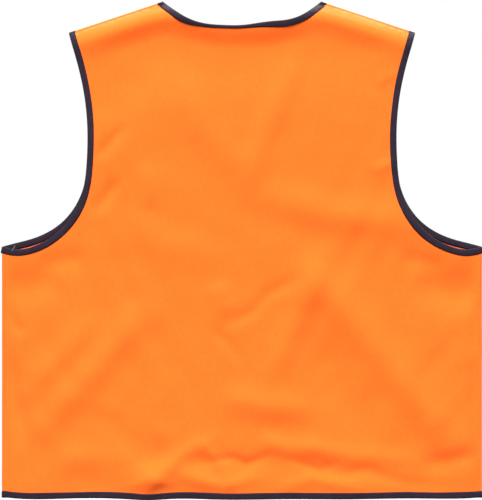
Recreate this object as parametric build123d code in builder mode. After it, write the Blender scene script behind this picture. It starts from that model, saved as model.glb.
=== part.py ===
"""Blaze orange field vest: a flat one-size shell with a separable front zipper and two flap pockets.

The row frame has its origin at the hanger seat, the middle of the line between the two neck points.
+Z is up, the front faces -Y, and the wearer's left is at +X. All sizes are in millimetres.
"""
from build123d import *
from math import hypot
import os

# ---- Garment outline: half sizes in the XZ plane, heights measured from the neck points ----
HEIGHT = 681.0
HALF_WIDTH = 330.0
NECK_HALF = 108.0
SHOULDER_HALF = 237.4
SHOULDER_DROP = 43.0
BACK_NECK_DROP = 34.0
FRONT_NECK_DROP = 130.0
ARMHOLE_HALF = 212.0

# ---- Cloth, seams and binding tape ----
CLOTH = 1.2
SEAM = 8.0
SEAM_GAP = 0.3
BINDING = 8.5
BINDING_STANDS_OUT = 0.7
FOLD_GAP = 1.0
LABEL = 0.4
LABEL_WIDTH = 38.0
LABEL_HEIGHT = 50.0

# ---- Depth of the hanging shell along Y ----
SEAM_FRONT = -3.0
SEAM_BACK = 0.5
BACK_BULGE = 24.0
SHOULDER_ROLL = 45.0
SHOULDER_ROUNDING = 20.0
PLACKET_Y = -22.0
GRID_STEP = 20
REACH = 80.0

# ---- Separable zipper, size 5, moulded teeth ----
TEETH_TIP = 4.6
TOOTH_LENGTH = 3.3
TOOTH_HEIGHT = 1.2
TOOTH_PITCH = 3.0
TOOTH_THICKNESS = 2.8
TAPE_WIDTH = 13.8
TAPE = 0.9
PANEL_EDGE = 12.5
PIN_WIDTH = 1.8
PIN_THICKNESS = 2.2
BOX_HEIGHT = 10.0
BOX_WIDTH = 12.8
BOX_THICKNESS = 4.4
BOX_FLOOR = 1.5
STOP_HEIGHT = 3.0
SLIDER_LENGTH = 16.0
SLIDER_WIDTH = 13.2
SLIDER_PLATE = 1.5
SLIDER_CAVITY = 3.4
POST_WIDTH = 2.2
FLANGE = 1.1
TAPE_CLEARANCE = 0.5
BAIL_BAR = 0.7
BAIL_HALF = 3.2
EYE_HALF = 2.1
EYE_RADIUS = 1.7
PULL_HOLE = 1.75
PULL_THICKNESS = 1.6
PULL_LENGTH = 32.0
PULL_WIDTH = 8.0
RUNNING_GAP = 0.3

# ---- Patch pockets on the lower fronts, and their flaps ----
POCKET_INNER = 45.0
POCKET_OUTER = 205.0
POCKET_TOP = -451.0
POCKET_BOTTOM = -626.0
POCKET_CORNER = 16.0
POCKET_DEPTH = 9.5
POCKET_CLOTH = 1.0
FLAP_HINGE = -440.0
FLAP_BOTTOM = -500.0
HINGE_STAND_OFF = 2.2
FLAP_STAND_OFF = 14.4
FLAP_OVERHANG = 3.0
FASTENER = 0.8
FASTENER_WIDTH = 70.0
FASTENER_HEIGHT = 22.0
FASTENER_Z = -478.0

# ---- Worked-out places ----
SIDE_SEAM_TOP = -350.0
SIDE_SEAM_BOTTOM = -HEIGHT * (HALF_WIDTH - SEAM - 2 - NECK_HALF) / (HALF_WIDTH - NECK_HALF)
SHOULDER_SLOPE = SHOULDER_DROP / (SHOULDER_HALF - NECK_HALF)
TAPE_INNER = TEETH_TIP + TOOTH_LENGTH
PLACKET = TAPE_INNER + TAPE_WIDTH
CHAIN_Y = PLACKET_Y + TAPE / 2
BOX_BOTTOM = -HEIGHT + BINDING + 1.0
BOX_TOP = BOX_BOTTOM + BOX_HEIGHT
PIN_TOP = BOX_TOP + 19.0
TAPE_TOP = -FRONT_NECK_DROP - 7.0
CHAIN_BOTTOM = PIN_TOP + 1.2
CHAIN_TOP = TAPE_TOP - STOP_HEIGHT - 2.0
SLIDER_X = TEETH_TIP - POST_WIDTH / 2 - 0.5
SLIDER_BOTTOM = BOX_TOP + RUNNING_GAP
SLIDER_FRONT = CHAIN_Y - SLIDER_CAVITY / 2 - SLIDER_PLATE
BAR_Y = SLIDER_FRONT - 2.2
BAR_Z = SLIDER_BOTTOM + SLIDER_LENGTH - 5.0

# ---- Edges of the cloth, as plan curves with X across and Z up ----
# Each runs so that the outside of the cloth is on its left.
with BuildLine() as back_neck:
    Spline((-NECK_HALF, 0), (-85, -16), (-45, -31), (0, -BACK_NECK_DROP), (45, -31), (85, -16), (NECK_HALF, 0))

with BuildLine() as front_neck:
    ThreePointArc((PANEL_EDGE, -FRONT_NECK_DROP), (63, -74), (NECK_HALF, 0))

with BuildLine() as front_armhole:
    Spline(
        (SHOULDER_HALF, -SHOULDER_DROP), (220, -106), (ARMHOLE_HALF, -161), (ARMHOLE_HALF, -217),
        (219, -258), (246, -299), (292, -326), (HALF_WIDTH, -336),
    )

with BuildLine() as back_armhole:
    Spline(
        (SHOULDER_HALF, -SHOULDER_DROP), (220, -106), (ARMHOLE_HALF, -161), (ARMHOLE_HALF, -217),
        (219, -264), (243, -307), (291, -336), (HALF_WIDTH, -341),
    )

with BuildLine() as back_hem:
    Line((HALF_WIDTH, -HEIGHT), (-HALF_WIDTH, -HEIGHT))

with BuildLine() as front_hem:
    Line((HALF_WIDTH - 2 * SEAM, -HEIGHT), (PANEL_EDGE, -HEIGHT))

# ---- Outlines of the cloth pieces ----
with BuildSketch(Plane.XZ) as back_outline:
    with BuildLine():
        add(back_neck.line)
        shoulder = Line((NECK_HALF, 0), (SHOULDER_HALF, -SHOULDER_DROP))
        add(back_armhole.line)
        side = Line((HALF_WIDTH, -341), (HALF_WIDTH, -HEIGHT))
        mirror([shoulder, side, back_armhole.edge()], about=Plane.YZ)
        add(back_hem.line)
    make_face()

with BuildSketch(Plane.XZ) as side_outline:
    with BuildLine():
        Line((NECK_HALF, 0), (SHOULDER_HALF, -SHOULDER_DROP))
        add(front_armhole.line)
        Polyline((HALF_WIDTH, -336), (HALF_WIDTH, -HEIGHT), (NECK_HALF, 0))
    make_face()

with BuildSketch(Plane.XZ) as front_outline:
    with BuildLine():
        add(front_neck.line)
        Polyline((NECK_HALF, 0), (HALF_WIDTH, -HEIGHT), (PANEL_EDGE, -HEIGHT), (PANEL_EDGE, -FRONT_NECK_DROP))
    make_face()


def shoulder_height(x):
    """Height of the shoulder line at x, rounded where it meets the neck."""
    past = abs(x) - NECK_HALF
    return -SHOULDER_SLOPE * (past + hypot(past, SHOULDER_ROUNDING)) / 2


def back_y(x, z):
    """Depth of the back's inner face, which bulges from the seams and rolls over at the shoulder."""
    roll = min(max((shoulder_height(x) - z) / SHOULDER_ROLL, 0), 1)
    return SEAM_BACK + BACK_BULGE * (1 - (x / HALF_WIDTH) ** 2) * (1 - (1 - roll) ** 2)


def fold_x(z):
    """Distance of the front's fold line from the middle, from the neck point to the hem corner."""
    return NECK_HALF + (HALF_WIDTH - NECK_HALF) * -z / HEIGHT


def front_y(x, z):
    """Depth of the front's inner face between its fold line and the placket."""
    return SEAM_FRONT + (PLACKET_Y - SEAM_FRONT) * (fold_x(z) - x) / (fold_x(z) - PLACKET)


across = range(-int(HALF_WIDTH) - 10, int(HALF_WIDTH) + 20, GRID_STEP)
heights = range(-int(HEIGHT) - 19, GRID_STEP, GRID_STEP)
back_face = Face.make_surface_from_array_of_points(
    [[Vector(x, back_y(x, z), z) for z in heights] for x in across], tol=0.05
)
fold_line = Line((fold_x(20), SEAM_FRONT, 20), (fold_x(-HEIGHT - 20), SEAM_FRONT, -HEIGHT - 20))
placket_line = Line((PLACKET, PLACKET_Y, 20), (PLACKET, PLACKET_Y, -HEIGHT - 20))
edge_line = Line((0, PLACKET_Y, 20), (0, PLACKET_Y, -HEIGHT - 20))
front_faces = [
    Face.make_surface_from_curves(fold_line.edge(), placket_line.edge()),
    Face.make_surface_from_curves(placket_line.edge(), edge_line.edge()),
]


def back_sheet(start, thickness):
    """Sheet that follows the back, from `start` outside its inner face."""
    return extrude(Pos(0, start, 0) * back_face, amount=thickness, dir=(0, 1, 0))


def front_sheet(start, thickness):
    """Sheet that follows the left front and its placket, from `start` outside its inner face."""
    return Part() + [extrude(Pos(0, -start, 0) * face, amount=thickness, dir=(0, -1, 0)) for face in front_faces]


def edge_band(curve, first=0.0, last=1.0):
    """Strip of binding along a cloth edge, from `first` to `last` of the edge's length."""
    edge = curve.edge()
    stations = [first + (last - first) * n / 16 for n in range(17)]

    def parallel(distance):
        return [edge.position_at(t) + edge.tangent_at(t).rotate(Axis.Z, 90) * distance for t in stations]

    with BuildSketch(Plane.XZ) as strip:
        with BuildLine():
            outer = Spline(*parallel(BINDING_STANDS_OUT))
            inner = Spline(*parallel(-BINDING))
            Line(outer @ 0, inner @ 0)
            Line(outer @ 1, inner @ 1)
        make_face()
    return strip.sketch


def save(part, name):
    """Write one finished piece under its own name."""
    part.label = name
    export_step(part, f"parts/{name}.step")


def save_pair(part, name):
    """Write a left piece and its mirror image for the right."""
    save(mirror(part, about=Plane.YZ), f"right_{name}")
    save(part, f"left_{name}")


os.makedirs("parts", exist_ok=True)
BAND = CLOTH + 2 * BINDING_STANDS_OUT

# ---- Back panel, and its bindings folded over the edges ----
with BuildPart() as back_panel:
    add(back_sheet(0, CLOTH))
    extrude(back_outline.sketch, amount=REACH, both=True, mode=Mode.INTERSECT)
save(back_panel.part, "back_panel")

with BuildPart() as back_neck_binding:
    add(back_sheet(-BINDING_STANDS_OUT, BAND))
    extrude(edge_band(back_neck, 0.02, 0.98), amount=REACH, both=True, mode=Mode.INTERSECT)
    add(back_panel.part, mode=Mode.SUBTRACT)
save(back_neck_binding.part, "back_neck_binding")

with BuildPart() as back_hem_binding:
    add(back_sheet(-BINDING_STANDS_OUT, BAND))
    extrude(edge_band(back_hem, 0.002, 0.998), amount=REACH, both=True, mode=Mode.INTERSECT)
    add(back_panel.part, mode=Mode.SUBTRACT)
save(back_hem_binding.part, "back_hem_binding")

# ---- Strip that the front folds back from: shoulder, armhole and side, in one plane ----
with BuildPart() as fold:
    with BuildSketch(Plane.XZ):
        with BuildLine() as fold_path:
            Line((fold_x(20), 20), (fold_x(-HEIGHT - 20), -HEIGHT - 20))
        trace(line_width=FOLD_GAP)
    extrude(amount=REACH, both=True)

with BuildPart() as side_panel:
    with BuildSketch(Plane.XZ.offset(-SEAM_FRONT)):
        add(side_outline.sketch_local)
    extrude(amount=CLOTH)
    add(fold.part, mode=Mode.SUBTRACT)
save_pair(side_panel.part, "side_panel")

# ---- Armhole binding: one tape over the back's edge and the front's ----
with BuildPart() as armhole_binding:
    add(back_sheet(-BINDING_STANDS_OUT, BAND))
    extrude(edge_band(back_armhole, 0.01, 0.98), amount=REACH, both=True, mode=Mode.INTERSECT)
    add(back_panel.part, mode=Mode.SUBTRACT)
    with BuildSketch(Plane.XZ.offset(-SEAM_FRONT - BINDING_STANDS_OUT)):
        add(edge_band(front_armhole, 0.01, 0.98))
    extrude(amount=BAND)
    add(side_panel.part, mode=Mode.SUBTRACT)
save_pair(armhole_binding.part, "armhole_binding")

# ---- Seam allowances that join the back to the side panels ----
with BuildPart() as shoulder_seam:
    with BuildSketch(Plane.XZ.offset(-SEAM_BACK + SEAM_GAP)):
        with BuildLine():
            seam_top = shoulder @ 0.05
            seam_end = shoulder @ 0.9
            drop = Vector(0, -SEAM)
            Polyline(seam_top, seam_end, seam_end + drop, seam_top + drop, close=True)
        make_face()
    extrude(amount=SEAM_BACK - SEAM_GAP - SEAM_FRONT)
save_pair(shoulder_seam.part, "shoulder_seam")

with BuildPart() as side_seam:
    with BuildSketch(Plane.XZ.offset(-SEAM_BACK + SEAM_GAP)):
        with Locations((HALF_WIDTH, SIDE_SEAM_TOP)):
            Rectangle(SEAM, SIDE_SEAM_TOP - SIDE_SEAM_BOTTOM, align=(Align.MAX, Align.MAX))
    extrude(amount=SEAM_BACK - SEAM_GAP - SEAM_FRONT)
save_pair(side_seam.part, "side_seam")

with BuildPart() as size_label:
    with BuildSketch(Plane.XZ.offset(-SEAM_BACK - BACK_BULGE + 2 * LABEL)):
        with Locations((0, -BACK_NECK_DROP - BINDING)):
            Rectangle(LABEL_WIDTH, LABEL_HEIGHT, align=(Align.CENTER, Align.MAX))
    extrude(amount=LABEL)
save(size_label.part, "size_label")

# ---- Left front, from its fold line to the placket, and its bindings ----
with BuildPart() as front_panel:
    add(front_sheet(0, CLOTH))
    extrude(front_outline.sketch, amount=REACH, both=True, mode=Mode.INTERSECT)
    add(fold.part, mode=Mode.SUBTRACT)
save_pair(front_panel.part, "front_panel")

for curve, last, name in ((front_neck, 0.9, "neck_binding"), (front_hem, 1.0, "hem_binding")):
    with BuildPart() as front_binding:
        add(front_sheet(-BINDING_STANDS_OUT, BAND))
        extrude(edge_band(curve, 0.0, last), amount=REACH, both=True, mode=Mode.INTERSECT)
        add(front_panel.part, mode=Mode.SUBTRACT)
    save_pair(front_binding.part, name)

# ---- Zipper tapes, with a chain of moulded teeth and a stop on each ----
with BuildPart() as zipper_tape:
    with BuildSketch(Plane.XZ.offset(-PLACKET_Y - TAPE)):
        with Locations((TAPE_INNER, TAPE_TOP)):
            Rectangle(TAPE_WIDTH, TAPE_TOP - BOX_BOTTOM, align=(Align.MIN, Align.MAX))
    extrude(amount=TAPE)
save_pair(zipper_tape.part, "zipper_tape")

tooth_count = int((CHAIN_TOP - CHAIN_BOTTOM) / TOOTH_PITCH)
with BuildPart() as zipper_teeth:
    with BuildSketch(Plane.XZ.offset(-CHAIN_Y - TOOTH_THICKNESS / 2)):
        with Locations(*[(TEETH_TIP, CHAIN_BOTTOM + n * TOOTH_PITCH) for n in range(tooth_count)]):
            Polygon(
                (0, -0.35), (0.7, -TOOTH_HEIGHT / 2), (TOOTH_LENGTH, -TOOTH_HEIGHT / 2),
                (TOOTH_LENGTH, TOOTH_HEIGHT / 2), (0.7, TOOTH_HEIGHT / 2), (0, 0.35), align=None,
            )
    extrude(amount=TOOTH_THICKNESS)
save(Pos(0, 0, TOOTH_PITCH / 2) * mirror(zipper_teeth.part, about=Plane.YZ), "right_zipper_teeth")
save(zipper_teeth.part, "left_zipper_teeth")

with BuildPart() as top_stop:
    with BuildSketch(Plane.XZ.offset(-CHAIN_Y)):
        with Locations((TAPE_INNER, TAPE_TOP - 1)):
            Rectangle(TOOTH_LENGTH - 0.6, STOP_HEIGHT, align=(Align.MAX, Align.MAX))
    extrude(amount=TOOTH_THICKNESS / 2 + 0.2, both=True)
save_pair(top_stop.part, "top_stop")

# ---- Separating end: a fixed pin in the retaining box, and the loose pin that plugs in beside it ----
with BuildPart() as pin:
    with BuildSketch(Plane.XY.offset(BOX_BOTTOM + BOX_FLOOR)):
        with Locations((TAPE_INNER, CHAIN_Y)):
            Rectangle(PIN_WIDTH, PIN_THICKNESS, align=(Align.MAX, Align.CENTER))
    extrude(amount=PIN_TOP - BOX_BOTTOM - BOX_FLOOR)
save(mirror(pin.part, about=Plane.YZ), "insertion_pin")
save(pin.part, "box_pin")

with BuildPart() as retaining_box:
    with BuildSketch(Plane.XY.offset(BOX_BOTTOM)):
        with Locations((SLIDER_X, CHAIN_Y)):
            RectangleRounded(BOX_WIDTH, BOX_THICKNESS, 1)
        with Locations((TAPE_INNER, CHAIN_Y)):
            Rectangle(TAPE_WIDTH, TAPE, align=(Align.MIN, Align.CENTER), mode=Mode.SUBTRACT)
    extrude(amount=BOX_HEIGHT)
    with BuildSketch(Plane.XY.offset(BOX_TOP)):
        with Locations((TAPE_INNER, CHAIN_Y)):
            Rectangle(PIN_WIDTH, PIN_THICKNESS, align=(Align.MAX, Align.CENTER))
        with Locations((2 * SLIDER_X - TAPE_INNER + PIN_WIDTH / 2, CHAIN_Y)):
            Rectangle(PIN_WIDTH + RUNNING_GAP, PIN_THICKNESS + RUNNING_GAP)
    extrude(amount=BOX_FLOOR - BOX_HEIGHT, mode=Mode.SUBTRACT)
save(retaining_box.part, "retaining_box")

# ---- Slider: two flanged plates on a post, and a bail for the pull ----
with BuildPart() as zipper_slider:
    with BuildSketch(Plane.XY.offset(SLIDER_BOTTOM)):
        with Locations((SLIDER_X, CHAIN_Y)):
            Rectangle(SLIDER_WIDTH, SLIDER_CAVITY + 2 * SLIDER_PLATE)
            Rectangle(SLIDER_WIDTH - 2 * FLANGE, SLIDER_CAVITY, mode=Mode.SUBTRACT)
            Rectangle(SLIDER_WIDTH, TAPE + 2 * TAPE_CLEARANCE, mode=Mode.SUBTRACT)
    extrude(amount=SLIDER_LENGTH)
    with BuildSketch(Plane.XZ.offset(-CHAIN_Y)):
        with Locations((SLIDER_X, SLIDER_BOTTOM + SLIDER_LENGTH / 2)):
            RectangleRounded(SLIDER_WIDTH, SLIDER_LENGTH, 3)
    extrude(amount=REACH, both=True, mode=Mode.INTERSECT)
    with BuildSketch(Plane.XZ.offset(-CHAIN_Y)):
        with Locations((SLIDER_X, SLIDER_BOTTOM + SLIDER_LENGTH - 3)):
            RectangleRounded(POST_WIDTH, 5, 1)
    extrude(amount=SLIDER_CAVITY / 2, both=True)
    with BuildSketch(Plane.XZ.offset(-SLIDER_FRONT)):
        with Locations((SLIDER_X - BAIL_HALF, BAR_Z), (SLIDER_X + BAIL_HALF, BAR_Z)):
            RectangleRounded(1.4, 3.6, 0.5)
    extrude(amount=SLIDER_FRONT - BAR_Y + 1.4)
    with BuildSketch(Plane.YZ.offset(SLIDER_X)):
        with Locations((BAR_Y, BAR_Z)):
            Circle(BAIL_BAR)
    extrude(amount=BAIL_HALF, both=True)
save(zipper_slider.part, "zipper_slider")

with BuildPart() as pull_tab:
    with BuildSketch(Plane.XZ.offset(-BAR_Y)):
        with Locations((SLIDER_X, BAR_Z)):
            Rectangle(2 * EYE_HALF, 8, align=(Align.CENTER, Align.MAX))
        with Locations((SLIDER_X, BAR_Z - (PULL_LENGTH + 5) / 2)):
            RectangleRounded(PULL_WIDTH, PULL_LENGTH - 5, 2.5)
    extrude(amount=PULL_THICKNESS / 2, both=True)
    chamfer(pull_tab.faces().filter_by(Axis.Y).edges().filter_by(lambda e: e.center().Z < BAR_Z - 5), 0.3)
    with BuildSketch(Plane.YZ.offset(SLIDER_X)):
        with Locations((BAR_Y, BAR_Z)):
            Circle(EYE_RADIUS)
    extrude(amount=EYE_HALF, both=True)
    with BuildSketch(Plane.YZ.offset(SLIDER_X)):
        with Locations((BAR_Y, BAR_Z)):
            Circle(BAIL_BAR + 0.25)
    extrude(amount=EYE_HALF, both=True, mode=Mode.SUBTRACT)
    with BuildSketch(Plane.XZ.offset(-BAR_Y)):
        with Locations((SLIDER_X, BAR_Z - PULL_LENGTH + 5)):
            Circle(PULL_HOLE)
    extrude(amount=PULL_THICKNESS, both=True, mode=Mode.SUBTRACT)
save(pull_tab.part, "pull_tab")

# ---- Patch pocket: a pouch that stands off the front, open at the top ----
with BuildSketch(Plane.XZ) as pouch_outline:
    with Locations(((POCKET_INNER + POCKET_OUTER) / 2, (POCKET_TOP + POCKET_BOTTOM) / 2)):
        Rectangle(POCKET_OUTER - POCKET_INNER, POCKET_TOP - POCKET_BOTTOM)
    fillet(pouch_outline.vertices().group_by(Axis.Z)[0], POCKET_CORNER)

with BuildPart() as pocket_space:
    add(front_sheet(0, CLOTH + POCKET_DEPTH))
    with BuildSketch(Plane.XZ) as space_outline:
        with Locations(((POCKET_INNER + POCKET_OUTER) / 2, POCKET_BOTTOM + POCKET_CLOTH)):
            Rectangle(POCKET_OUTER - POCKET_INNER - 2 * POCKET_CLOTH, HEIGHT, align=(Align.CENTER, Align.MIN))
        fillet(space_outline.vertices().group_by(Axis.Z)[0], POCKET_CORNER - POCKET_CLOTH)
    extrude(amount=REACH, both=True, mode=Mode.INTERSECT)

with BuildPart() as pocket_pouch:
    add(front_sheet(CLOTH, POCKET_DEPTH + POCKET_CLOTH))
    extrude(pouch_outline.sketch, amount=REACH, both=True, mode=Mode.INTERSECT)
    add(pocket_space.part, mode=Mode.SUBTRACT)
save_pair(pocket_pouch.part, "pocket_pouch")

with BuildPart() as loop_patch:
    add(front_sheet(CLOTH + POCKET_DEPTH + POCKET_CLOTH, FASTENER))
    with BuildSketch(Plane.XZ):
        with Locations(((POCKET_INNER + POCKET_OUTER) / 2, FASTENER_Z)):
            Rectangle(FASTENER_WIDTH, FASTENER_HEIGHT)
    extrude(amount=REACH, both=True, mode=Mode.INTERSECT)
save_pair(loop_patch.part, "loop_patch")

# ---- Pocket flap: hinged along its stitched top edge, on the slant of the front ----
flap_middle_x = (POCKET_INNER + POCKET_OUTER) / 2
flap_half = (POCKET_OUTER - POCKET_INNER) / 2 + FLAP_OVERHANG
flap_z = (FLAP_HINGE + FLAP_BOTTOM) / 2
inner_end = Vector(flap_middle_x - flap_half, front_y(flap_middle_x - flap_half, flap_z), 0)
outer_end = Vector(flap_middle_x + flap_half, front_y(flap_middle_x + flap_half, flap_z), 0)
along = (outer_end - inner_end).normalized()
outward = along.cross(Vector(0, 0, 1))
middle = (inner_end + outer_end) / 2
flap_section = Plane(origin=middle, x_dir=outward, z_dir=-along)
flap_face = Plane(origin=middle + outward * FLAP_STAND_OFF, x_dir=along, z_dir=outward)

with BuildPart() as pocket_flap:
    with BuildSketch(flap_section):
        with BuildLine():
            Polyline(
                (HINGE_STAND_OFF, FLAP_HINGE), (FLAP_STAND_OFF, POCKET_TOP + 1), (FLAP_STAND_OFF, FLAP_BOTTOM)
            )
        trace(line_width=CLOTH)
    extrude(amount=flap_half, both=True)
save_pair(pocket_flap.part, "pocket_flap")

with BuildPart() as flap_binding:
    with BuildSketch(flap_face):
        with Locations((0, POCKET_TOP - 3)):
            Rectangle(2 * flap_half + 1, POCKET_TOP - 3 - FLAP_BOTTOM + 0.5, align=(Align.CENTER, Align.MAX))
            Rectangle(
                2 * (flap_half - BINDING), POCKET_TOP - 3 - FLAP_BOTTOM - BINDING,
                align=(Align.CENTER, Align.MAX), mode=Mode.SUBTRACT,
            )
    extrude(amount=CLOTH / 2 + 0.5, both=True)
    add(pocket_flap.part, mode=Mode.SUBTRACT)
save_pair(flap_binding.part, "flap_binding")

with BuildPart() as hook_patch:
    with BuildSketch(flap_face.offset(-CLOTH / 2 - FASTENER)):
        with Locations((0, FASTENER_Z)):
            Rectangle(FASTENER_WIDTH, FASTENER_HEIGHT)
    extrude(amount=FASTENER)
save_pair(hook_patch.part, "hook_patch")

print("slider travel", round(TAPE_TOP - 1 - STOP_HEIGHT - RUNNING_GAP - SLIDER_BOTTOM - SLIDER_LENGTH, 1))
print("slider centre and bail bar", round(SLIDER_X, 2), round(BAR_Y, 2), round(BAR_Z, 2))
print("pull hole height", round(BAR_Z - PULL_LENGTH + 5, 2))
print("flap hinge point", middle + outward * HINGE_STAND_OFF, "axis", along)
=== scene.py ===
"""Looks of the blaze orange vest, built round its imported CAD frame.

Everything is in metres in the row frame: the origin is midway between the neck points, the front faces -Y,
and the wearer's left is at +X. Cloth is laid out in plan, as (x, z), and put in place by a Sheet.
"""
import math

import bpy
import numpy as np
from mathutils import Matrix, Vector, noise
from mathutils.geometry import delaunay_2d_cdt
from mathutils.kdtree import KDTree


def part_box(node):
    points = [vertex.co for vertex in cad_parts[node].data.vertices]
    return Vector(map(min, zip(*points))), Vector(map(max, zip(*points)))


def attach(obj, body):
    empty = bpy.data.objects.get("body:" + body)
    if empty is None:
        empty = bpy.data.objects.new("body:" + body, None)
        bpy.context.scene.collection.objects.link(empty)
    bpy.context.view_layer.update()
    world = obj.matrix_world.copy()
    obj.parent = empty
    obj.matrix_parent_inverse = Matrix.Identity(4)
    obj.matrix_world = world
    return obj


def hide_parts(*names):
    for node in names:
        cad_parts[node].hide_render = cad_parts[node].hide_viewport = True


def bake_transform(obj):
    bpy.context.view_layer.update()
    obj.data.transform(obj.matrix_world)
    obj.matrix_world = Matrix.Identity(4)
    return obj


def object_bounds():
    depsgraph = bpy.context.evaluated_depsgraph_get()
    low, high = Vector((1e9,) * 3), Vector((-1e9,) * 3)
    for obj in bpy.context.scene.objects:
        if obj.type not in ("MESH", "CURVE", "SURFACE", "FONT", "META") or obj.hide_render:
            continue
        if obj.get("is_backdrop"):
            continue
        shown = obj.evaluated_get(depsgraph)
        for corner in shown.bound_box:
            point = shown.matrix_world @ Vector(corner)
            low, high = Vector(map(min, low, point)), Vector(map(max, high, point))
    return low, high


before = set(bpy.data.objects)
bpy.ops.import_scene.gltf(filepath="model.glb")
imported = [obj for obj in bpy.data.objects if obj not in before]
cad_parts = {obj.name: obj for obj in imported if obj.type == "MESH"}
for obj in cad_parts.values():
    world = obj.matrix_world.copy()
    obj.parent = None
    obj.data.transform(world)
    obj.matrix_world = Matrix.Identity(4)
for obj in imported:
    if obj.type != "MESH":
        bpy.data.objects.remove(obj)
cad_low, cad_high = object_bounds()

# ---- Sizes of the garment, from the frame where it has them ----
MM = 0.001
HEIGHT = -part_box("back_panel")[0].z
HALF_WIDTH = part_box("back_panel")[1].x
NECK_HALF = 0.108
SHOULDER_HALF, SHOULDER_DROP = 0.2374, 0.043
BACK_NECK_DROP, FRONT_NECK_DROP = 0.034, 0.130
PLACKET_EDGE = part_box("left_front_panel")[0].x
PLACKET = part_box("left_zipper_tape")[1].x
SEAM_FRONT, SEAM_BACK, PLACKET_Y = -0.003, 0.0005, -0.022
BACK_BULGE = 0.024
BACK_ROLL, SHOULDER_ROUNDING = 0.024, 0.020
CLOTH_MIDDLE = 0.0006
CLOTH = 0.0008
UNDERARM = -0.3364
TAPE_WIDTH = 0.0086
SIDES = {"left": 1, "right": -1}

SHOULDER_SLOPE = SHOULDER_DROP / (SHOULDER_HALF - NECK_HALF)


# ---- Plan curves ----
class Path:
    """A plan curve (x, z) measured by its length, with the cloth on its right."""

    def __init__(self, points, smooth=True):
        points = np.array(points, float)
        chord = np.concatenate([[0], np.cumsum(np.linalg.norm(np.diff(points, axis=0), axis=1))])
        fine = np.linspace(0, chord[-1], 801)
        if smooth and len(points) > 2:
            dense = np.stack([natural_spline(chord, points[:, k], fine) for k in (0, 1)], 1)
        else:
            dense = np.stack([np.interp(fine, chord, points[:, k]) for k in (0, 1)], 1)
        self.marks = np.concatenate([[0], np.cumsum(np.linalg.norm(np.diff(dense, axis=0), axis=1))])
        self.dense = dense
        self.length = self.marks[-1]

    def at(self, s):
        """Plan points at lengths s."""
        return np.stack([np.interp(s, self.marks, self.dense[:, k]) for k in (0, 1)], -1)

    def outward(self, s, step=0.002):
        """Unit plan vectors at lengths s, square to the curve and away from the cloth."""
        along = self.at(np.minimum(s + step, self.length)) - self.at(np.maximum(s - step, 0))
        along /= np.linalg.norm(along, axis=-1, keepdims=True)
        return np.stack([-along[..., 1], along[..., 0]], -1)

    def stations(self, spacing, first=0.0, last=1.0):
        """Evenly spaced lengths from a first to a last share of the curve."""
        count = max(2, int(round((last - first) * self.length / spacing)) + 1)
        return np.linspace(first * self.length, last * self.length, count)


def natural_spline(t, values, at):
    """Natural cubic spline through (t, values), evaluated at `at`."""
    n = len(t)
    gap = np.diff(t)
    system, right = np.eye(n), np.zeros(n)
    for i in range(1, n - 1):
        system[i, i - 1:i + 2] = gap[i - 1], 2 * (gap[i - 1] + gap[i]), gap[i]
        right[i] = 6 * ((values[i + 1] - values[i]) / gap[i] - (values[i] - values[i - 1]) / gap[i - 1])
    bend = np.linalg.solve(system, right)
    k = np.clip(np.searchsorted(t, at) - 1, 0, n - 2)
    a, b = (t[k + 1] - at) / gap[k], (at - t[k]) / gap[k]
    return (a * values[k] + b * values[k + 1]
            + ((a ** 3 - a) * bend[k] + (b ** 3 - b) * bend[k + 1]) * gap[k] ** 2 / 6)


BACK_NECK = Path([(-NECK_HALF, 0), (-0.085, -0.0176), (-0.064, -0.0256), (-0.045, -0.0278),
                  (-0.025, -0.0302), (0, 0.0004 - BACK_NECK_DROP), (0.025, 0.0004 - BACK_NECK_DROP),
                  (0.045, -0.0322), (0.064, -0.0280), (0.085, -0.0176), (NECK_HALF, 0)])
FRONT_NECK = Path([(PLACKET_EDGE, -FRONT_NECK_DROP), (0.035, -0.1055), (0.063, -0.074), (0.088, -0.038),
                   (NECK_HALF, 0)])
ARMHOLE_TOP = [(SHOULDER_HALF, -SHOULDER_DROP), (0.220, -0.106), (0.212, -0.161), (0.212, -0.217)]
FRONT_ARMHOLE = Path(ARMHOLE_TOP + [(0.219, -0.258), (0.246, -0.3012), (0.292, -0.3264), (0.313, -0.3318),
                                    (HALF_WIDTH, UNDERARM)])
BACK_ARMHOLE = Path(ARMHOLE_TOP + [(0.219, -0.264), (0.243, -0.307), (0.289, -0.3368), (0.309, -0.3402),
                                   (HALF_WIDTH, UNDERARM)])
SHOULDER = Path([(NECK_HALF, 0), (SHOULDER_HALF, -SHOULDER_DROP)])
SIDE = Path([(HALF_WIDTH, UNDERARM), (HALF_WIDTH, -HEIGHT)])
HEM_WAVES = [(HALF_WIDTH, 1.4), (0.316, 0), (0.240, 0.2), (0.156, 0), (0.128, -1.2), (0.098, 0.6), (0.030, 0),
             (-0.060, 0.5), (-0.150, 0), (-0.230, 0.6), (-0.310, 0), (-HALF_WIDTH, 1.0)]
BACK_HEM = Path([(x, rise * MM - HEIGHT) for x, rise in HEM_WAVES])
FRONT_HEM = Path([(HALF_WIDTH - 0.0005, -HEIGHT), (PLACKET_EDGE, -HEIGHT)])
PLACKET_LINE = Path([(PLACKET_EDGE, -HEIGHT), (PLACKET_EDGE, -FRONT_NECK_DROP)])


def plan_tree(plan):
    """Plan points ready to be looked up by distance."""
    tree = KDTree(len(plan))
    for n, p in enumerate(plan):
        tree.insert((p[0], p[1], 0), n)
    tree.balance()
    return tree


def noise_along(s, rate, *place):
    """Smooth noise at lengths s; place picks which."""
    return np.array([noise.noise(Vector((v * rate, *place))) for v in s])


def smoothstep(low, high, value):
    """0 at low and 1 at high, smooth between; low may be above high."""
    t = np.clip((value - low) / (high - low), 0, 1)
    return t * t * (3 - 2 * t)


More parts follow.
